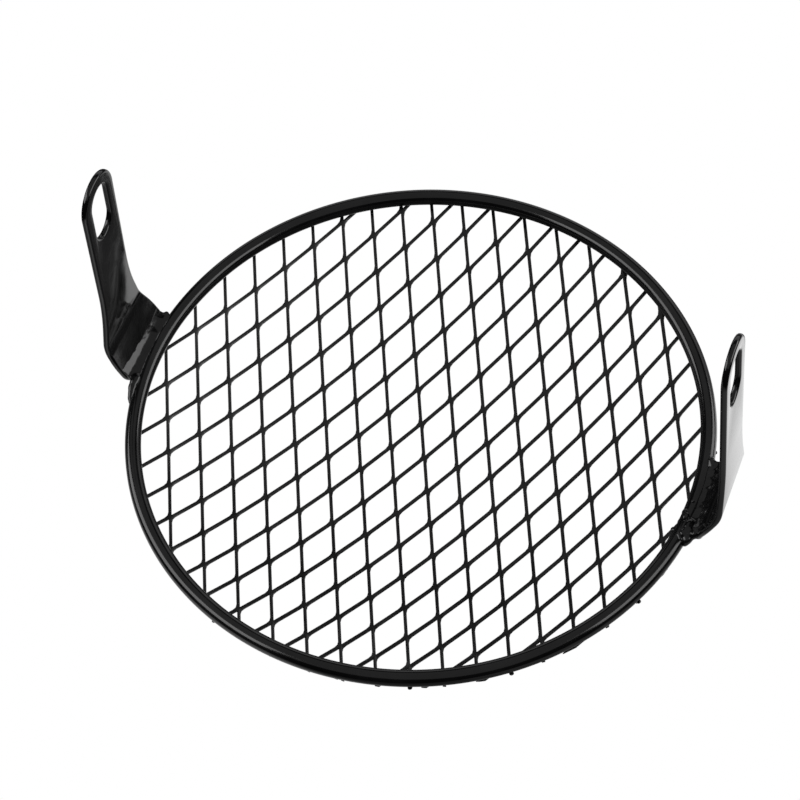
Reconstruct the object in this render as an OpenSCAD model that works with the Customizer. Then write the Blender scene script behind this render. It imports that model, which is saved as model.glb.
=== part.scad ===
// Headlight guard: a domed expanded-metal mesh welded under a round rod ring,
// with two bent strap brackets that carry it on the headlight's side bolts.
// The brackets stand up along +Z on the +X and -X sides; the dome points down.

/* [Ring] */
// Diameter of the ring, measured on the centre line of its rod
ring_d = 176; // [140:1:200]
// Diameter of the rod
rod_d = 5; // [4:0.1:7]

/* [Mesh] */
// Long way of one opening, from knuckle to knuckle
mesh_long = 22.4; // [18:0.1:28]
// Short way of one opening, from knuckle to knuckle
mesh_short = 11.16; // [9:0.02:14]
// Width of a strand
strand_w = 1.05; // [0.7:0.05:1.4]
// Thickness of the sheet
sheet_t = 0.6; // [0.5:0.05:1]
// Length of a knuckle along the long way
knuckle_l = 2; // [1.5:0.1:3]
// Lean of the strands out of the sheet, about the long way
strand_lean = -8; // [-15:1:15]
// Turn of the mesh about the ring's axis
mesh_turn = -2.2; // [-10:0.1:10]
// Place of the middle knuckle across the short way
middle_x = 0.15; // [-3:0.05:3]
// Place of the middle knuckle along the long way
middle_y = 0.75; // [-3:0.05:3]
// Depth of the dome below its rim
dome_h = 17; // [12:0.5:22]
// Reach of the strand ends past the ring's centre line
end_reach = 1.1; // [0.8:0.1:1.6]
// How far the cut edge of the mesh sits off centre
cut_shift = 0.8; // [0:0.1:1]
// Direction in which the cut edge sits off centre
cut_shift_dir = -20; // [-180:5:180]

/* [Brackets] */
// Thickness of the strap
strap_t = 2; // [1.5:0.1:3]
// Width of the strap at its round end
end_w = 18.6; // [18:0.1:22]
// Width of the strap at its waist, above the flare
waist_w = 17.9; // [15:0.1:18]
// Width of the foot
foot_w = 27.4; // [22:0.2:32]
// Height of the round end above the ring's centre plane
end_h = 82.6; // [70:0.2:95]
// Gap between the ring's outer side and the strap's inner face, at the slot
strap_gap = 4.8; // [3:0.2:8]
// Lean of each bracket towards the ring's axis
strap_lean = 1.6; // [0:0.1:4]
// Radius of the bend, at the middle of the strap
bend_r = 10; // [6:0.5:14]
// Angle of the foot from upright
foot_lean = 28; // [20:0.5:34]
// Height at which the flare starts
flare_h = 28.2; // [24:0.2:34]
// Length of the soft start of the flare
flare_blend = 5; // [1:0.5:10]
// Height at which the flare ends
foot_h = 4; // [3.5:0.5:8]
// Depth by which the foot is bedded into the rod's side
foot_sink = 0.35; // [0.2:0.05:0.8]
// Depth of the foot's end below the ring's centre plane
foot_drop = 1; // [0:0.1:2]
// Radius of the foot's corners
foot_corner = 2.5; // [1:0.1:3]
// Width of the slot
slot_w = 10; // [6:0.1:11]
// Length of the slot
slot_l = 20.5; // [12:0.5:24]
// Distance from the slot's end to the strap's end
slot_margin = 4.3; // [3:0.1:8]

/* [Welds] */
// Radius of the bead along each bracket's foot
bead_r = 1.4; // [1.2:0.1:2]
// Half of the angle over which a bead runs
bead_turn = 9; // [8:0.5:14]
// Radius of the blob at each end of a bead
blob_r = 1.5; // [1.4:0.1:2.2]
// Thickness of the weld over the ring's own joint
seam_t = 0.45; // [0.3:0.05:0.8]
// Angle at which the ring's own joint lies
seam_dir = -6; // [-9:0.5:-3]
// Length of the weld over the ring's own joint
seam_l = 8; // [5:0.5:10]
// Radius of a tack between a strand end and the ring
tack_r = 0.65; // [0.5:0.05:1.2]
// Number of tacks round the ring
tack_count = 12; // [6:1:16]
// Angle of the first tack
tack_dir = -80; // [-180:5:180]

/* [Hidden] */
$fn = 64;
paint = "#1b1b1d";
rod_r = rod_d / 2;
ring_r = ring_d / 2;
// Room left between pieces that are welded together
seat = 0.05;
// Room between the strands' middle and the rod, taken up by their lean
mesh_seat = 0.35;

// The dome is part of a sphere, and the ring's rod rests on its hollow side
sphere_r = (pow(ring_r, 2) + pow(dome_h, 2)) / (2 * dome_h);
rest_r = sphere_r - sheet_t / 2 - mesh_seat - rod_r;
sphere_z = sqrt(pow(rest_r, 2) - pow(ring_r, 2));

// One strand runs from a knuckle's tip to the side of the next knuckle
half_s = mesh_short / 2;
half_l = mesh_long / 2;
tip = knuckle_l / 2;
run_s = half_s - strand_w;
free_l = half_l - knuckle_l;
run_l = (free_l * half_s + strand_w * sqrt(pow(free_l, 2) + pow(run_s, 2)
    + 2 * strand_w * run_s)) / (run_s + 2 * strand_w);
strand_a = atan2(run_s, run_l);
// The rounded side of a knuckle meets the strand's edge where the arc ends
side_l = half_l - tip - run_l;
side_r = side_l * (1 + cos(strand_a)) / sin(strand_a);
out_s = strand_w + side_r * (1 - cos(strand_a));
out_l = side_r * sin(strand_a);

// Corners of a knuckle, anticlockwise from its upper tip
KNUCKLE = [[0, tip], [-out_s, out_l], [-strand_w, 0], [-out_s, -out_l],
    [0, -tip], [out_s, -out_l], [strand_w, 0], [out_s, out_l]];
CORNERS = len(KNUCKLE);
// Each strand leaves by the corners p and q towards the knuckle at step,
// and ends at that knuckle's corners far_p and far_q
P = 0;
Q = 1;
STEP = 2;
FAR_P = 3;
FAR_Q = 4;
UP_LEFT = [0, 1, [-1, 1], 5, 4];
DOWN_LEFT = [3, 4, [-1, -1], 0, 7];
DOWN_RIGHT = [4, 5, [1, -1], 1, 0];
UP_RIGHT = [7, 0, [1, 1], 4, 3];

// The sheet is cut to a disc that is measured along the dome
deg = 180 / PI;
cut_r = sphere_r * asin(ring_r / sphere_r) / deg + end_reach;
cut_c = cut_shift * [cos(cut_shift_dir), sin(cut_shift_dir)];
keep_r = cut_r - out_l - strand_w / 2;
shortest_end = 0.05;

function turned(p) = [p[0] * cos(mesh_turn) - p[1] * sin(mesh_turn),
    p[0] * sin(mesh_turn) + p[1] * cos(mesh_turn)];
// Middle of the knuckle at step k of the pattern, on the flat sheet
function middle(k) = turned([middle_x + k[0] * half_s, middle_y + k[1] * half_l]);
// Corner i of that knuckle, with its lift out of the sheet as third value
function corner(k, i) =
    let (at = middle(k) + turned(KNUCKLE[i]))
    [at[0], at[1], KNUCKLE[i][0] * tan(strand_lean)];
// A point of the flat sheet laid on the dome, lifted off its middle
function domed(p, lift) =
    let (s = max(norm([p[0], p[1]]), 0.001))
    let (a = s / sphere_r * deg)
    let (r = sphere_r - p[2] - lift)
    [r * sin(a) * p[0] / s, r * sin(a) * p[1] / s, sphere_z - r * cos(a)];
function kept(k) = norm(middle(k) - cut_c) < keep_r;

reach_s = ceil(cut_r / half_s);
reach_l = ceil(cut_r / half_l);
knuckles = [for (a = [-reach_s : reach_s]) for (b = [-reach_l : reach_l])
    if ((a + b + 100) % 2 == 0 && kept([a, b])) [a, b]];
keys = [for (k = knuckles) k[0] * 1000 + k[1]];
function place(k) = search(k[0] * 1000 + k[1], keys)[0];

// Where the edge from u towards v leaves the disc, as a share of its length
function leaves(u, v) =
    let (d = [v[0] - u[0], v[1] - u[1]])
    let (e = [u[0], u[1]] - cut_c)
    let (b = d * e)
    let (c = e * e - cut_r * cut_r)
    max(shortest_end, (-b + sqrt(max(0, b * b - d * d * c))) / (d * d));
function cut_point(u, v) = u + (v - u) * leaves(u, v);

// Strand ends: the knuckle, the strand and the two cut corners
ends = [for (k = knuckles) for (s = [UP_LEFT, DOWN_LEFT, DOWN_RIGHT, UP_RIGHT])
    if (!kept(k + s[STEP]))
        [k, s, cut_point(corner(k, s[P]), corner(k + s[STEP], s[FAR_P])),
            cut_point(corner(k, s[Q]), corner(k + s[STEP], s[FAR_Q]))]];

// Every corner of the mesh on the flat sheet; then both of its faces
flat = concat([for (k = knuckles) for (i = [0 : CORNERS - 1]) corner(k, i)],
    [for (e = ends) for (i = [2, 3]) e[i]]);
first_end = len(knuckles) * CORNERS;
layer = len(flat);
upper = [for (p = flat) domed(p, sheet_t / 2)];
lower = [for (p = flat) domed(p, -sheet_t / 2)];
ring_z = -min([for (p = lower) p[2]]);

function at(k, i) = place(k) * CORNERS + i;
// Both faces over a corner list that runs anticlockwise, as triangles
function skin(c) = [for (i = [1 : len(c) - 2]) each [
    [c[0], c[i + 1], c[i]],
    [c[0] + layer, c[i] + layer, c[i + 1] + layer]]];
// The wall between both faces, with the metal on the left from u to v
function wall(u, v) = [[u, v, v + layer], [u, v + layer, u + layer]];

knuckle_faces = [for (k = knuckles)
    let (f = at(k, 0))
    each concat(skin([for (i = [0 : CORNERS - 1]) f + i]),
        wall(f + 1, f + 2), wall(f + 2, f + 3), wall(f + 5, f + 6), wall(f + 6, f + 7))];
strand_faces = [for (k = knuckles) for (s = [UP_LEFT, UP_RIGHT])
    if (kept(k + s[STEP]))
        let (p = at(k, s[P]))
        let (q = at(k, s[Q]))
        let (far_p = at(k + s[STEP], s[FAR_P]))
        let (far_q = at(k + s[STEP], s[FAR_Q]))
        each concat(skin([p, far_p, far_q, q]), wall(p, far_p), wall(far_q, q))];
end_faces = [for (n = [0 : len(ends) - 1])
    let (p = at(ends[n][0], ends[n][1][P]))
    let (q = at(ends[n][0], ends[n][1][Q]))
    let (far_p = first_end + 2 * n)
    let (far_q = first_end + 2 * n + 1)
    each concat(skin([p, far_p, far_q, q]),
        wall(p, far_p), wall(far_p, far_q), wall(far_q, q))];

// Tacks sit past the strand ends that lie nearest to evenly spread angles
function end_middle(e) = (e[2] + e[3]) / 2;
function apart(a, b) = abs((a - b + 540) % 360 - 180);
function crowded(n) = min([for (m = [0 : len(ends) - 1])
    if (m != n) norm(end_middle(ends[m]) - end_middle(ends[n]))])
    < 2 * tack_r + strand_w;
free_ends = [for (n = [0 : len(ends) - 1]) if (!crowded(n)) ends[n]];
function nearest(dir) =
    let (gaps = [for (e = free_ends)
        apart(atan2(end_middle(e)[1], end_middle(e)[0]), dir)])
    free_ends[search(min(gaps), gaps)[0]];
// A tack's middle lies a little off the rod, round it from the strand's end
tack_d = rod_r + seat + tack_r / 3;
tack_turn = 2 * asin((tack_r + 2 * seat) / (2 * tack_d));
// Angle about the rod at which the tack past an end lies
function tack_low(e) =
    let (m = domed(end_middle(e), sheet_t / 2))
    atan2(m[2], norm([m[0], m[1]]) - ring_r) + tack_turn;

// Path of a strap in its XZ plane, at the middle of its thickness
slot_h = end_h - slot_margin - slot_l / 2;
strap_x = ring_r + rod_r + strap_gap + strap_t / 2;
up = [-sin(strap_lean), cos(strap_lean)];
up_out = [cos(strap_lean), sin(strap_lean)];
down = [-sin(foot_lean), -cos(foot_lean)];
down_out = [cos(foot_lean), -sin(foot_lean)];
// The bend's centre lies as far from the upper part as from the foot
from_up = [strap_x, slot_h] * up_out - bend_r;
from_foot = ring_r * down_out[0] + rod_r - foot_sink + strap_t / 2 - bend_r;
bend_c = [from_up * sin(foot_lean) + from_foot * sin(strap_lean),
    from_up * cos(foot_lean) - from_foot * cos(strap_lean)] / sin(strap_lean + foot_lean);
foot_run = (bend_c[1] - bend_r * sin(foot_lean) + foot_drop) / cos(foot_lean);
upper_run = (end_h - bend_c[1]) / cos(strap_lean) + strap_t;
past = 1;
arc_steps = 12;
// Points of an arc about c, from one angle to another
function arc(c, r, from, to) = [for (n = [0 : arc_steps])
    let (a = from + (to - from) * n / arc_steps)
    c + r * [cos(a), sin(a)]];
// A face of the strap from top to foot, at radius r in the bend
function bend_face(r) = concat([bend_c + r * up_out + upper_run * up],
    arc(bend_c, r, strap_lean, -foot_lean),
    [bend_c + r * down_out + foot_run * down]);

// One side of the strap in its front view, from top to foot; it may be grown
flare_turn = atan2((foot_w - waist_w) / 2, flare_h - foot_h);
flare_r = flare_blend / tan(flare_turn / 2);
flare_c = [waist_w / 2 + flare_r, flare_h + flare_blend];
corner_c = [foot_w / 2 - foot_corner, foot_corner - foot_drop];
function strap_side(grow) = concat(
    arc([0, end_h - end_w / 2], end_w / 2 + grow, 90, 0),
    arc(flare_c, flare_r - grow, 180, 180 + flare_turn),
    [[foot_w / 2 + grow, foot_h]],
    arc(corner_c, foot_corner + grow, 0, -90),
    [[corner_c[0], -foot_drop - past]]);

module rod_ring(grow) {
    rotate_extrude($fn = 180)
        translate([ring_r, 0])
            circle(r = rod_r + grow);
}

module ring() {
    color(paint)
        translate([0, 0, ring_z])
            rod_ring(0);
}

module mesh() {
    color(paint)
        translate([0, 0, ring_z])
            polyhedron(points = concat(upper, lower),
                faces = concat(knuckle_faces, strand_faces, end_faces));
}

// Side view of the bent strap
module strap_profile(grow) {
    inner = bend_face(bend_r - strap_t / 2 - grow);
    polygon(concat(bend_face(bend_r + strap_t / 2 + grow),
        [for (n = [len(inner) - 1 : -1 : 0]) inner[n]]));
}

// Front view of the strap, as seen along X: width, then height
module strap_outline(grow) {
    side = strap_side(grow);
    difference() {
        polygon(concat(side,
            [for (n = [len(side) - 1 : -1 : 1]) [-side[n][0], side[n][1]]]));
        translate([0, slot_h])
            slot();
    }
}

module slot() {
    square([slot_w, slot_l - slot_w], center = true);
    for (side = [-1, 1])
        translate([0, side * (slot_l - slot_w) / 2])
            circle(r = slot_w / 2);
}

// The strap of the +X side, in the ring's own plane
module strap(grow) {
    difference() {
        intersection() {
            rotate([90, 0, 0])
                linear_extrude(height = 2 * foot_w, center = true)
                    strap_profile(grow);
            rotate([90, 0, 90])
                linear_extrude(height = ring_d)
                    strap_outline(grow);
        }
        rod_ring(seat);
    }
}

// The bead in the groove between the rod and the foot's inner face
groove_a = 32;
bead_d = rod_r + 0.6 * bead_r;
bead_cr = ring_r + bead_d * cos(groove_a);
bead_cz = bead_d * sin(groove_a);

module bead(grow) {
    rotate([0, 0, -bead_turn])
        rotate_extrude(angle = 2 * bead_turn, $fn = 180)
            translate([bead_cr, bead_cz])
                circle(r = bead_r + grow);
    for (side = [-1, 1])
        rotate([0, 0, side * bead_turn])
            translate([bead_cr, 0, bead_cz])
                sphere(r = blob_r + grow);
}

module foot_weld() {
    difference() {
        bead(0);
        rod_ring(seat);
        strap(seat);
    }
}

module right_bracket() {
    color(paint)
        translate([0, 0, ring_z])
            strap(0);
}

module left_bracket() {
    color(paint)
        translate([0, 0, ring_z])
            rotate([0, 0, 180])
                strap(0);
}

module right_bracket_weld() {
    color(paint)
        translate([0, 0, ring_z])
            foot_weld();
}

module left_bracket_weld() {
    color(paint)
        translate([0, 0, ring_z])
            rotate([0, 0, 180])
                foot_weld();
}

// A thin sleeve over the rod, on its upper inner side, clear of bead and mesh
module ring_seam_weld() {
    half_turn = seam_l / 2 / ring_r * deg;
    seam_low = 0.8 * rod_r;
    color(paint)
        translate([0, 0, ring_z])
            rotate([0, 0, seam_dir - half_turn])
                rotate_extrude(angle = 2 * half_turn, $fn = 180)
                    translate([ring_r, 0])
                        intersection() {
                            difference() {
                                circle(r = rod_r + seam_t);
                                circle(r = rod_r + seat);
                            }
                            translate([-rod_d, -seam_low])
                                square([rod_d, 2 * rod_d]);
                        }
}

// A ball with a flat side, which lies against the rod
module tack(e) {
    at = end_middle(e);
    rotate([0, 0, atan2(at[1], at[0])])
        translate([ring_r, 0, 0])
            rotate([0, 90 - tack_low(e), 0])
                difference() {
                    translate([0, 0, tack_d])
                        sphere(r = tack_r, $fn = 24);
                    cylinder(r = rod_r, h = rod_r + seat);
                }
}

module mesh_tack_welds() {
    color(paint)
        translate([0, 0, ring_z])
            for (n = [0 : tack_count - 1])
                tack(nearest(tack_dir + n * 360 / tack_count));
}

ring();
mesh();
left_bracket();
right_bracket();
left_bracket_weld();
right_bracket_weld();
ring_seam_weld();
mesh_tack_welds();
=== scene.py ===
# Headlight guard: a domed expanded-metal mesh welded under a rod ring,
# with two bent strap brackets, all in one glossy black paint.
import math
import bmesh
import bpy
from mathutils import Matrix, Vector, noise


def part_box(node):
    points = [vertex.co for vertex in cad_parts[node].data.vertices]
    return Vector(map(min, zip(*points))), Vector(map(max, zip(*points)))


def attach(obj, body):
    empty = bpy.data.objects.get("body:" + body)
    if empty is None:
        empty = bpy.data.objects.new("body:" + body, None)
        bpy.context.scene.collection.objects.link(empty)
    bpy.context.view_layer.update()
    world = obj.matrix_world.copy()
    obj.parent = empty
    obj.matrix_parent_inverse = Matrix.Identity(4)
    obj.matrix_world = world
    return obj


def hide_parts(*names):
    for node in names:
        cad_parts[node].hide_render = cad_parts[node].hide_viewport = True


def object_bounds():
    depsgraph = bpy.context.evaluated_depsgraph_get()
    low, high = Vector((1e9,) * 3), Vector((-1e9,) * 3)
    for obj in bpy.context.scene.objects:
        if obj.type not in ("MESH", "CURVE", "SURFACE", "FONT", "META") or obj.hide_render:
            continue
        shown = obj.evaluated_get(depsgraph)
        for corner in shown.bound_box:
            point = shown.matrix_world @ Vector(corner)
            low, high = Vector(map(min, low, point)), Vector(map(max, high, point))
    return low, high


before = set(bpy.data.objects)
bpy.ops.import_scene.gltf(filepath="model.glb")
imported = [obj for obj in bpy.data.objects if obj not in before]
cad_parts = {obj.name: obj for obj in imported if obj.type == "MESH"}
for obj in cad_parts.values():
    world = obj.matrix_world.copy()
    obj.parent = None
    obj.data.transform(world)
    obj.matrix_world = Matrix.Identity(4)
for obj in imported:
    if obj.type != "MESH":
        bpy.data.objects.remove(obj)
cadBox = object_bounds()
mm = 0.001


# Small helpers

def pieceFrom(bm, name, material, sharpAngle=40):
    # A finished piece: its place is in its mesh, and it rides on the one body
    mesh = bpy.data.meshes.new(name)
    bm.to_mesh(mesh)
    bm.free()
    piece = bpy.data.objects.new(name, mesh)
    bpy.context.scene.collection.objects.link(piece)
    mesh.materials.append(material)
    mesh.shade_smooth()
    mesh.set_sharp_from_angle(angle=math.radians(sharpAngle))
    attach(piece, "root")
    return piece


def mergedCopy(nodeName):
    # A bmesh of a frame node with its loose triangles joined up
    bm = bmesh.new()
    bm.from_mesh(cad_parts[nodeName].data)
    bmesh.ops.remove_doubles(bm, verts=bm.verts, dist=0.002 * mm)
    return bm


def sharpEdges(bm, angle):
    return [e for e in bm.edges if e.is_manifold and e.calc_face_angle(0) > math.radians(angle)]


def roundOff(bm, edges, width, segments):
    bmesh.ops.bevel(bm, geom=edges, offset=width, offset_type="OFFSET", segments=segments,
                    profile=0.5, affect="EDGES", material=-1, clamp_overlap=True)


# Paint

paint = {
    "deep": (0.0035, 0.0035, 0.0038, 1),      # the paint's own black
    "worn": (0.010, 0.010, 0.0105, 1),        # slightly greyer patches
    "coat": 0.5,                              # clear gloss on top
    "coatRoughness": 0.08,
}


def paintGroup():
    # Uneven gloss and orange peel of a sprayed coat, in object space
    group = bpy.data.node_groups.new("sprayedPaint", "ShaderNodeTree")
    for name, kind in (("Deep", "NodeSocketColor"), ("Worn", "NodeSocketColor"),
                       ("Patch Scale", "NodeSocketFloat"), ("Peel Scale", "NodeSocketFloat"),
                       ("Speck", "NodeSocketFloat"), ("Gloss", "NodeSocketFloat"),
                       ("Dull", "NodeSocketFloat")):
        group.interface.new_socket(name, in_out="INPUT", socket_type=kind)
    for name, kind in (("Color", "NodeSocketColor"), ("Roughness", "NodeSocketFloat"),
                       ("Height", "NodeSocketFloat")):
        group.interface.new_socket(name, in_out="OUTPUT", socket_type=kind)
    nodes, links = group.nodes, group.links
    inside = nodes.new("NodeGroupInput")
    outside = nodes.new("NodeGroupOutput")
    coords = nodes.new("ShaderNodeTexCoord")

    patch = nodes.new("ShaderNodeTexNoise")
    patch.inputs["Detail"].default_value = 5
    patch.inputs["Roughness"].default_value = 0.6
    links.new(coords.outputs["Object"], patch.inputs["Vector"])
    links.new(inside.outputs["Patch Scale"], patch.inputs["Scale"])

    peel = nodes.new("ShaderNodeTexNoise")
    peel.inputs["Detail"].default_value = 2
    links.new(coords.outputs["Object"], peel.inputs["Vector"])
    links.new(inside.outputs["Peel Scale"], peel.inputs["Scale"])

    speck = nodes.new("ShaderNodeTexVoronoi")
    speck.inputs["Scale"].default_value = 2600
    links.new(coords.outputs["Object"], speck.inputs["Vector"])
    speckMask = nodes.new("ShaderNodeMapRange")
    speckMask.inputs["From Min"].default_value = 0.02
    speckMask.inputs["From Max"].default_value = 0.22
    speckMask.inputs["To Min"].default_value = 1
    speckMask.inputs["To Max"].default_value = 0
    links.new(speck.outputs["Distance"], speckMask.inputs["Value"])

    mask = nodes.new("ShaderNodeMapRange")
    mask.inputs["From Min"].default_value = 0.42
    mask.inputs["From Max"].default_value = 0.68
    links.new(patch.outputs["Fac"], mask.inputs["Value"])

    tone = nodes.new("ShaderNodeMix")
    tone.data_type = "RGBA"
    links.new(mask.outputs["Result"], tone.inputs["Factor"])
    links.new(inside.outputs["Deep"], tone.inputs["A"])
    links.new(inside.outputs["Worn"], tone.inputs["B"])
    links.new(tone.outputs["Result"], outside.inputs["Color"])

    rough = nodes.new("ShaderNodeMapRange")
    links.new(mask.outputs["Result"], rough.inputs["Value"])
    links.new(inside.outputs["Gloss"], rough.inputs["To Min"])
    links.new(inside.outputs["Dull"], rough.inputs["To Max"])
    links.new(rough.outputs["Result"], outside.inputs["Roughness"])

    speckHeight = nodes.new("ShaderNodeMath")
    speckHeight.operation = "MULTIPLY"
    links.new(speckMask.outputs["Result"], speckHeight.inputs[0])
    links.new(inside.outputs["Speck"], speckHeight.inputs[1])
    height = nodes.new("ShaderNodeMath")
    height.operation = "ADD"
    links.new(peel.outputs["Fac"], height.inputs[0])
    links.new(speckHeight.outputs["Value"], height.inputs[1])
    links.new(height.outputs["Value"], outside.inputs["Height"])
    return group


sprayed = paintGroup()


def paintMaterial(name, patchScale, peelScale, speck, gloss, dull, bump):
    material = bpy.data.materials.new(name)
    material.use_nodes = True
    nodes, links = material.node_tree.nodes, material.node_tree.links
    shader = nodes["Principled BSDF"]
    surface = nodes.new("ShaderNodeGroup")
    surface.node_tree = sprayed
    surface.inputs["Deep"].default_value = paint["deep"]
    surface.inputs["Worn"].default_value = paint["worn"]
    surface.inputs["Patch Scale"].default_value = patchScale
    surface.inputs["Peel Scale"].default_value = peelScale
    surface.inputs["Speck"].default_value = speck
    surface.inputs["Gloss"].default_value = gloss
    surface.inputs["Dull"].default_value = dull
    links.new(surface.outputs["Color"], shader.inputs["Base Color"])
    links.new(surface.outputs["Roughness"], shader.inputs["Roughness"])
    relief = nodes.new("ShaderNodeBump")
    relief.inputs["Strength"].default_value = 1
    relief.inputs["Distance"].default_value = bump
    links.new(surface.outputs["Height"], relief.inputs["Height"])
    links.new(relief.outputs["Normal"], shader.inputs["Normal"])
    shader.inputs["IOR"].default_value = 1.5
    shader.inputs["Coat Weight"].default_value = paint["coat"]
    shader.inputs["Coat Roughness"].default_value = paint["coatRoughness"]
    return material


rodPaint = paintMaterial("rodPaint", 60, 500, 0.0, 0.14, 0.20, 0.0015 * mm)
meshPaint = paintMaterial("meshPaint", 90, 900, 0.0, 0.34, 0.42, 0.0004 * mm)
strapPaint = paintMaterial("strapPaint", 110, 420, 0.2, 0.08, 0.15, 0.014 * mm)
weldPaint = paintMaterial("weldPaint", 300, 1400, 0.1, 0.16, 0.26, 0.007 * mm)
print("paint ready")


# Ring: one round rod, bent to a circle

ring = {"rodSegments": 40, "turnSteps": 288}
ringLow, ringHigh = (Vector(c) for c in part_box("ring"))
rodR = (ringHigh.z - ringLow.z) / 2
ringR = (ringHigh.x - ringLow.x) / 2 - rodR
ringZ = (ringHigh.z + ringLow.z) / 2


def makeRing():
    bm = bmesh.new()
    section = bmesh.ops.create_circle(bm, segments=ring["rodSegments"], radius=rodR)["verts"]
    place = Matrix.Translation((ringR, 0, ringZ)) @ Matrix.Rotation(math.pi / 2, 4, "X")
    bmesh.ops.transform(bm, matrix=place, verts=section)
    bmesh.ops.spin(bm, geom=bm.verts[:] + bm.edges[:], cent=(0, 0, 0), axis=(0, 0, 1),
                   angle=2 * math.pi, steps=ring["turnSteps"], use_merge=True)
    bmesh.ops.remove_doubles(bm, verts=bm.verts, dist=0.002 * mm)
    bmesh.ops.recalc_face_normals(bm, faces=bm.faces)
    piece = pieceFrom(bm, "rodRing", rodPaint)
    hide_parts("ring")


makeRing()
print("ring ready")


# Mesh: the sheet's own strands, with the paint rounding their edges

mesh = {"edgeRound": 0.13 * mm, "segments": 2}


def makeMesh():
    bm = mergedCopy("mesh")
    bmesh.ops.join_triangles(bm, faces=bm.faces, angle_face_threshold=math.radians(25),
                             angle_shape_threshold=math.radians(180))
    roundOff(bm, sharpEdges(bm, 50), mesh["edgeRound"], mesh["segments"])
    piece = pieceFrom(bm, "wireMesh", meshPaint, 25)
    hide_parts("mesh")


makeMesh()
print("mesh ready")


# Brackets: a flat strap with well rounded edges, bent at its foot

bracket = {   # mm, heights above the ring's centre plane
    "thick": 2.0, "edgeRound": 0.85,
    "endWidth": 18.6, "waistWidth": 17.9, "footWidth": 27.4,
    "endHeight": 82.58, "flareHeight": 28.2, "flareBlend": 7.0, "footHeight": 4.0,
    "footDrop": 1.0, "footCorner": 3.4,
    "slotWidth": 10.0, "slotLength": 20.5, "slotMargin": 4.3,
    "gap": 4.8, "lean": 1.6, "footLean": 28.0, "bendRadius": 10.0, "sink": 0.35,
    "edgeSteps": 5, "arcSteps": 24, "bendSteps": 24,
}


def arcPoints(cx, cy, radius, fromDeg, toDeg, steps):
    turns = [math.radians(fromDeg + (toDeg - fromDeg) * n / steps) for n in range(steps + 1)]
    return [(cx + radius * math.cos(a), cy + radius * math.sin(a)) for a in turns]


def strapOutline():
    # The strap's front view as (y, height), anticlockwise, and the slot in it
    b = bracket
    steps = b["arcSteps"]
    turn = math.degrees(math.atan2((b["footWidth"] - b["waistWidth"]) / 2,
                                   b["flareHeight"] - b["footHeight"]))
    flareR = b["flareBlend"] / math.tan(math.radians(turn / 2))
    half = b["footWidth"] / 2
    corner = b["footCorner"]
    right = arcPoints(half - corner, corner - b["footDrop"], corner, -90, 0, steps)
    right += arcPoints(half - flareR * 0.3, b["footHeight"], flareR * 0.3, 0, turn, 6)[1:]
    right += arcPoints(b["waistWidth"] / 2 + flareR, b["flareHeight"] + b["flareBlend"], flareR,
                       180 + turn, 180, steps)
    right += arcPoints(0, b["endHeight"] - b["endWidth"] / 2, b["endWidth"] / 2, 0, 90, 2 * steps)
    outer = right + [(-y, z) for y, z in reversed(right[:-1])]
    slotR = b["slotWidth"] / 2
    slotZ = b["endHeight"] - b["slotMargin"] - b["slotLength"] / 2
    reach = b["slotLength"] / 2 - slotR
    slot = arcPoints(0, slotZ + reach, slotR, 0, 180, 2 * steps)
    slot += arcPoints(0, slotZ - reach, slotR, 180, 360, 2 * steps)
    return outer, slot


def strapPath():
    # The bend's centre, radius and both straight directions, in the strap's side view
    b = bracket
    lean, foot = math.radians(b["lean"]), math.radians(b["footLean"])
    slotZ = b["endHeight"] - b["slotMargin"] - b["slotLength"] / 2
    outX = (ringR + rodR) / mm + b["gap"] + b["thick"] / 2
    fromUp = outX * math.cos(lean) + slotZ * math.sin(lean) - b["bendRadius"]
    fromFoot = (ringR * math.cos(foot) + rodR) / mm - b["sink"] + b["thick"] / 2 - b["bendRadius"]
    cx = (fromUp * math.sin(foot) + fromFoot * math.sin(lean)) / math.sin(lean + foot)
    cz = (fromUp * math.cos(foot) - fromFoot * math.cos(lean)) / math.sin(lean + foot)
    return Vector((cx, 0, cz)), lean, foot


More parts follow.
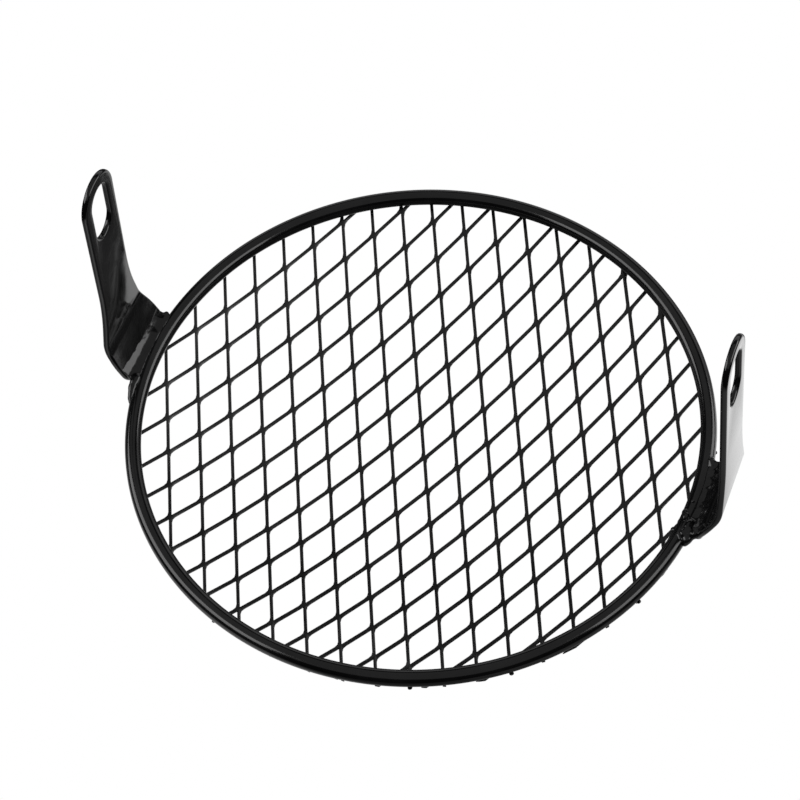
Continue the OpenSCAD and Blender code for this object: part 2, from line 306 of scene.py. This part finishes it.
def makeBracket(nodeName, pieceName, turn):
    b = bracket
    curve = bpy.data.curves.new(pieceName + "Outline", "CURVE")
    curve.dimensions = "2D"
    curve.fill_mode = "BOTH"
    curve.extrude = b["thick"] / 2 - b["edgeRound"]
    curve.bevel_depth = b["edgeRound"]
    curve.bevel_resolution = b["edgeSteps"]
    curve.offset = -b["edgeRound"]
    for loop in strapOutline():
        spline = curve.splines.new("POLY")
        spline.points.add(len(loop) - 1)
        for point, (y, z) in zip(spline.points, loop):
            point.co = (y, z, 0, 1)
        spline.use_cyclic_u = True
    holder = bpy.data.objects.new(pieceName + "Outline", curve)
    bpy.context.scene.collection.objects.link(holder)
    flat = bpy.data.meshes.new_from_object(
        holder.evaluated_get(bpy.context.evaluated_depsgraph_get()))
    bpy.data.objects.remove(holder)
    bm = bmesh.new()
    bm.from_mesh(flat)
    bmesh.ops.remove_doubles(bm, verts=bm.verts, dist=0.001)

    centre, lean, foot = strapPath()
    radius = b["bendRadius"]
    for n in range(b["bendSteps"] + 1):
        a = -foot + (lean + foot) * n / b["bendSteps"]
        bmesh.ops.bisect_plane(bm, geom=bm.verts[:] + bm.edges[:] + bm.faces[:], dist=0.0001,
                               plane_co=(0, centre.z + radius * math.sin(a), 0),
                               plane_no=(0, 1, 0))
    highest = centre.z + radius * math.sin(lean)
    lowest = centre.z - radius * math.sin(foot)
    for v in bm.verts:
        y, z, w = v.co
        if z > highest:
            a, run, along = lean, (z - highest) / math.cos(lean), 1
        elif z < lowest:
            a, run, along = -foot, (lowest - z) / math.cos(foot), -1
        else:
            a, run, along = math.asin((z - centre.z) / radius), 0, 1
        out = Vector((math.cos(a), 0, math.sin(a)))
        onward = Vector((-math.sin(a), 0, math.cos(a))) * along
        v.co = centre + out * (radius + w) + onward * run + Vector((0, y, 0))
    bmesh.ops.scale(bm, verts=bm.verts, vec=(mm, mm, mm))
    place = Matrix.Translation((0, 0, ringZ)) @ Matrix.Rotation(math.radians(turn), 4, "Z")
    bmesh.ops.transform(bm, matrix=place, verts=bm.verts)
    bmesh.ops.recalc_face_normals(bm, faces=bm.faces)
    piece = pieceFrom(bm, pieceName, strapPaint, 60)
    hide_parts(nodeName)


makeBracket("left_bracket", "leftStrap", 180)
makeBracket("right_bracket", "rightStrap", 0)
print("brackets ready")


# Welds: lumpy, flush with what they join, under the same paint

weld = {
    "voxel": 0.22 * mm,
    # height against the strap and its rise towards +Y, length and slope of the upper part
    # and how much that slope grows towards +Y
    "fillet": {"half": 13.3, "high": 4.6, "rise": 0.9, "run": 2.8, "slope": 39, "turn": 6, "rodAngle": 76},
    # lumps on the rod: (angle round the ring, angle round the rod, distance from the rod's
    # middle, half length, half thickness), in degrees and mm
    "left": (
        (-8.4, 35, 3.3, 0.9, 0.9), (8.2, 55, 2.7, 1.8, 1.3),
        (8.8, 44, 2.8, 2.6, 1.7), (9.9, 36, 2.8, 2.8, 1.5), (11.0, 30, 2.6, 2.6, 1.3),
        (11.9, 24, 2.5, 2.0, 1.1), (12.9, 20, 2.2, 1.5, 0.8),
    ),
    "right": (
        (8.4, 55, 2.7, 1.6, 1.2), (7.6, 40, 3.0, 1.6, 1.3),
        (-8.2, 38, 3.2, 2.2, 1.9), (-9.2, 26, 3.0, 2.2, 1.7), (-9.6, 14, 2.7, 2.0, 1.3),
        (-7.0, 60, 3.0, 2.6, 1.4), (-8.8, 66, 2.6, 1.6, 1.2),
        (-7.2, 30, 4.9, 1.6, 1.4), (-7.4, 12, 5.2, 1.6, 1.4), (-8.0, 24, 4.2, 1.6, 1.5),
    ),
    "seam": (
        (-5.6, 110, 1.7, 3.4, 1.0), (-7.4, 90, 1.7, 3.6, 1.0), (-7.0, 142, 1.7, 3.4, 1.0),
        (-6.4, 60, 1.7, 2.6, 1.0), (-5.8, 172, 1.7, 2.4, 0.95),
        (-4.2, 130, 1.9, 1.5, 1.25), (-5.1, 108, 1.9, 1.5, 1.25), (-6.0, 84, 1.9, 1.5, 1.25),
        (-6.9, 62, 1.9, 1.5, 1.25), (-9.6, 80, 1.85, 0.9, 1.2), (-10.1, 56, 1.85, 0.9, 1.2),
        (-8.2, 178, 2.5, 1.1, 1.0), (-1.6, 100, 2.1, 0.7, 0.9),
    ),
    "roughness": 0.09,      # mm, height of the lumps' unevenness
    "smoothing": 14,
}


def onRod(turn, rodTurn, away):
    t, f = math.radians(turn), math.radians(rodTurn)
    out = ringR / mm + away * math.cos(f)
    return Vector((out * math.cos(t), out * math.sin(t), away * math.sin(f)))


def addLump(bm, turn, rodTurn, away, long, thick):
    place = Matrix.Translation(onRod(turn, rodTurn, away))
    aim = Matrix.Rotation(math.radians(turn), 4, "Z")
    size = Matrix.Diagonal((thick, long, thick, 1))
    bmesh.ops.create_icosphere(bm, subdivisions=3, radius=1, matrix=place @ aim @ size)


def addFillet(bm):
    # A closed body between the foot's inner face and the rod, hollow on its open side
    f = weld["fillet"]
    foot = math.radians(bracket["footLean"])
    faceX = ((ringR * math.cos(foot) + rodR) / mm - bracket["sink"]) / math.cos(foot)
    along, around = 56, 20
    grid = bmesh.ops.create_grid(bm, x_segments=along, y_segments=around, size=1)["verts"]
    for v in grid:
        i = round((v.co.x + 1) / 2 * along)
        j = round((v.co.y + 1) / 2 * around)
        y = (2 * i / along - 1) * f["half"]
        rodX = math.sqrt((ringR / mm) ** 2 - y * y)
        wave = noise.noise(Vector((y * 0.35, 3.1, 0)))
        high = f["high"] + f["rise"] * y / f["half"] + wave * 0.6
        run = f["run"] * (1 + 0.3 * y / f["half"])
        t = math.radians(f["rodAngle"])
        top = Vector((faceX + high * math.tan(foot) + 0.25, high))
        end = Vector((rodX + (rodR / mm - 0.05) * math.cos(t), (rodR / mm - 0.05) * math.sin(t)))
        fall = math.radians(f["slope"] + f["turn"] * y / f["half"])
        knee = top - Vector((math.cos(fall), math.sin(fall))) * run
        if j in (0, around):
            spot = Vector((faceX + 0.8, 0.3))
        elif j == around - 1:
            spot = Vector((rodX + 1.2, 0.6))
        else:
            u = (j - 1) / (around - 3)
            spot = top.lerp(knee, u * 2) if u < 0.5 else knee.lerp(end, u * 2 - 1)
        v.co = Vector((spot.x, y, spot.y))
    bmesh.ops.remove_doubles(bm, verts=grid, dist=0.0001)
    bmesh.ops.holes_fill(bm, edges=[e for e in bm.edges if e.is_boundary], sides=0)


def makeWeld(nodeName, pieceName, lumps, turn, withFillet, seed):
    bm = bmesh.new()
    if withFillet:
        addFillet(bm)
    for lump in lumps:
        addLump(bm, *lump)
    bmesh.ops.recalc_face_normals(bm, faces=bm.faces)
    bmesh.ops.scale(bm, verts=bm.verts, vec=(mm, mm, mm))
    rough = bpy.data.meshes.new(pieceName + "Rough")
    bm.to_mesh(rough)
    bm.free()
    holder = bpy.data.objects.new(pieceName + "Rough", rough)
    bpy.context.scene.collection.objects.link(holder)
    fuse = holder.modifiers.new("fuse", "REMESH")
    fuse.mode = "VOXEL"
    fuse.voxel_size = weld["voxel"]
    fused = bpy.data.meshes.new_from_object(
        holder.evaluated_get(bpy.context.evaluated_depsgraph_get()))
    bpy.data.objects.remove(holder)
    bm = bmesh.new()
    bm.from_mesh(fused)
    for _ in range(weld["smoothing"]):
        bmesh.ops.smooth_vert(bm, verts=bm.verts, factor=0.5, use_axis_x=True,
                              use_axis_y=True, use_axis_z=True)
    bm.normal_update()
    for v in bm.verts:
        spot = v.co / mm + Vector((seed, 0, 0))
        rise = noise.noise(spot * 0.45) + 0.3 * noise.noise(spot * 1.1)
        v.co += v.normal * rise * weld["roughness"] * mm
    place = Matrix.Translation((0, 0, ringZ)) @ Matrix.Rotation(math.radians(turn), 4, "Z")
    bmesh.ops.transform(bm, matrix=place, verts=bm.verts)
    piece = pieceFrom(bm, pieceName, weldPaint, 80)
    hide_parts(nodeName)


makeWeld("left_bracket_weld", "leftFootWeld", weld["left"], 180, True, 11)
makeWeld("right_bracket_weld", "rightFootWeld", weld["right"], 0, True, 47)
makeWeld("ring_seam_weld", "ringJointWeld", weld["seam"], 0, False, 83)


def makeTacks():
    # The frame's own tacks, pulled out of round
    bm = mergedCopy("mesh_tack_welds")
    for v in bm.verts:
        spot = v.co / mm
        v.co += noise.noise_vector(spot * 0.9) * 0.25 * mm
    piece = pieceFrom(bm, "tacks", weldPaint, 50)
    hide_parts("mesh_tack_welds")


makeTacks()
print("welds ready")


# Floor, light and camera

studio = {
    "cameraPlace": (193.9, -422.1, 715.4),    # mm
    "cameraAim": (-8.7, 6.4, 20.8),           # where the view's middle meets the ring's plane
    "roll": 6.07,                             # degrees, clockwise
    "lens": 123.0,                            # mm on a 36 mm sensor
    "floorSize": 6.0,
    "worldForCamera": 1.0,
    "worldForGloss": 0.015,
    "floorForGloss": 1.0,
    # painted light and shade on the floor, as reflections see it, in mm: each entry is a line or a circle
    # about a place, with the level before "start" and after "end"; all of them are multiplied. The first
    # circle is a painted shadow under the dome; the others darken the floor far off, towards the near
    # right, round (80, 118) and to the left, and brighten it to the right
    "shades": (
        {"kind": "circle", "place": (8, 12), "start": 82, "end": 90, "levels": (0.10, 1.0)},
        {"kind": "circle", "place": (0, 0), "start": 150, "end": 260, "levels": (1.0, 0.06)},
        {"kind": "line", "towards": (0.707, -0.707), "start": 58, "end": 96, "levels": (1.0, 0.2)},
        {"kind": "line", "towards": (1, 0), "start": 60, "end": 102, "levels": (0.55, 1.1)},
        {"kind": "circle", "place": (80, 118), "start": 44, "end": 56, "levels": (0.12, 1.0)},
        {"kind": "line", "towards": (-1, 0), "start": 95, "end": 130, "levels": (1.0, 0.3)},
    ),
}


def makeFloor():
    bm = bmesh.new()
    bmesh.ops.create_grid(bm, x_segments=1, y_segments=1, size=studio["floorSize"] / 2)
    bmesh.ops.translate(bm, verts=bm.verts, vec=(0, 0, cadBox[0][2] - 0.5 * mm))
    data = bpy.data.meshes.new("floor")
    bm.to_mesh(data)
    bm.free()
    floor = bpy.data.objects.new("floor", data)
    bpy.context.scene.collection.objects.link(floor)
    material = bpy.data.materials.new("paleFloor")
    material.use_nodes = True
    nodes, links = material.node_tree.nodes, material.node_tree.links
    nodes.remove(nodes["Principled BSDF"])
    # The floor glows: evenly white to the camera, and to reflections in the painted light and shade of the
    # shades, with a painted shadow under the dome
    glow = nodes.new("ShaderNodeEmission")
    glow.inputs["Color"].default_value = (1, 1, 1, 1)
    coords = nodes.new("ShaderNodeTexCoord")
    shade = None
    for entry in studio["shades"]:
        away = nodes.new("ShaderNodeVectorMath")
        if entry["kind"] == "circle":
            away.operation = "DISTANCE"
            away.inputs[1].default_value = (entry["place"][0] * mm, entry["place"][1] * mm, 0)
        else:
            away.operation = "DOT_PRODUCT"
            away.inputs[1].default_value = (*entry["towards"], 0)
        links.new(coords.outputs["Object"], away.inputs[0])
        edge = nodes.new("ShaderNodeMapRange")
        edge.interpolation_type = "SMOOTHSTEP"
        edge.inputs["From Min"].default_value = entry["start"] * mm
        edge.inputs["From Max"].default_value = entry["end"] * mm
        edge.inputs["To Min"].default_value = entry["levels"][0]
        edge.inputs["To Max"].default_value = entry["levels"][1]
        links.new(away.outputs["Value"], edge.inputs["Value"])
        both = nodes.new("ShaderNodeMath")
        both.operation = "MULTIPLY"
        links.new(edge.outputs["Result"], both.inputs[0])
        if shade is None:
            both.inputs[1].default_value = studio["floorForGloss"]
        else:
            links.new(shade.outputs["Value"], both.inputs[1])
        shade = both
    path = nodes.new("ShaderNodeLightPath")
    level = nodes.new("ShaderNodeMapRange")
    level.inputs["To Max"].default_value = 1.0
    links.new(shade.outputs["Value"], level.inputs["To Min"])
    links.new(path.outputs["Is Camera Ray"], level.inputs["Value"])
    links.new(level.outputs["Result"], glow.inputs["Strength"])
    links.new(glow.outputs["Emission"], nodes["Material Output"].inputs["Surface"])
    data.materials.append(material)


def makeWorld():
    world = bpy.data.worlds.new("studio")
    bpy.context.scene.world = world
    world.use_nodes = True
    nodes, links = world.node_tree.nodes, world.node_tree.links
    back = nodes["Background"]
    back.inputs["Color"].default_value = (1, 1, 1, 1)
    path = nodes.new("ShaderNodeLightPath")
    level = nodes.new("ShaderNodeMapRange")
    level.inputs["To Min"].default_value = studio["worldForGloss"]
    level.inputs["To Max"].default_value = studio["worldForCamera"]
    links.new(path.outputs["Is Camera Ray"], level.inputs["Value"])
    links.new(level.outputs["Result"], back.inputs["Strength"])


lamps = {   # name: (towards it from the ring, its long side's direction, length, width, watts)
    "leftSoftbox": ((-0.786, -0.286, 0.548), (0.566, -0.711, 0.417), 1.18, 0.54, 4.0),
    "rightSoftbox": ((0.795, 0.355, 0.500), (0.077, -0.922, 0.378), 1.30, 0.52, 4.0),
    "ceiling": ((0, 0, 1.5), (1, 0, 0), 3.0, 3.0, 6.0),
    "backdrop": ((-0.1, 1.3, 0.22), (1, 0, 0), 2.4, 0.8, 2.4),
}


def makeLamps():
    for name, (place, along, length, width, watts) in lamps.items():
        data = bpy.data.lights.new(name, "AREA")
        data.shape = "RECTANGLE"
        data.size = length
        data.size_y = width
        data.energy = watts
        lamp = bpy.data.objects.new(name, data)
        bpy.context.scene.collection.objects.link(lamp)
        back = Vector(place).normalized()
        side = (Vector(along) - Vector(along).dot(back) * back).normalized()
        turn = Matrix((side, back.cross(side), back)).transposed().to_4x4()
        lamp.matrix_world = Matrix.Translation(Vector(place) + Vector((0, 0, ringZ))) @ turn


def makeCamera():
    data = bpy.data.cameras.new("camera")
    data.lens = studio["lens"]
    data.sensor_width = 36
    data.clip_start = 0.01
    data.clip_end = 20
    camera = bpy.data.objects.new("camera", data)
    bpy.context.scene.collection.objects.link(camera)
    place = Vector(studio["cameraPlace"]) * mm
    look = (Vector(studio["cameraAim"]) * mm - place).normalized()
    roll = Matrix.Rotation(math.radians(studio["roll"]), 4, look)
    turn = roll @ look.to_track_quat("-Z", "Y").to_matrix().to_4x4()
    camera.matrix_world = Matrix.Translation(place) @ turn
    bpy.context.scene.camera = camera


makeFloor()
makeWorld()
makeLamps()
makeCamera()
bpy.context.scene.view_settings.view_transform = "Standard"
print("studio ready")
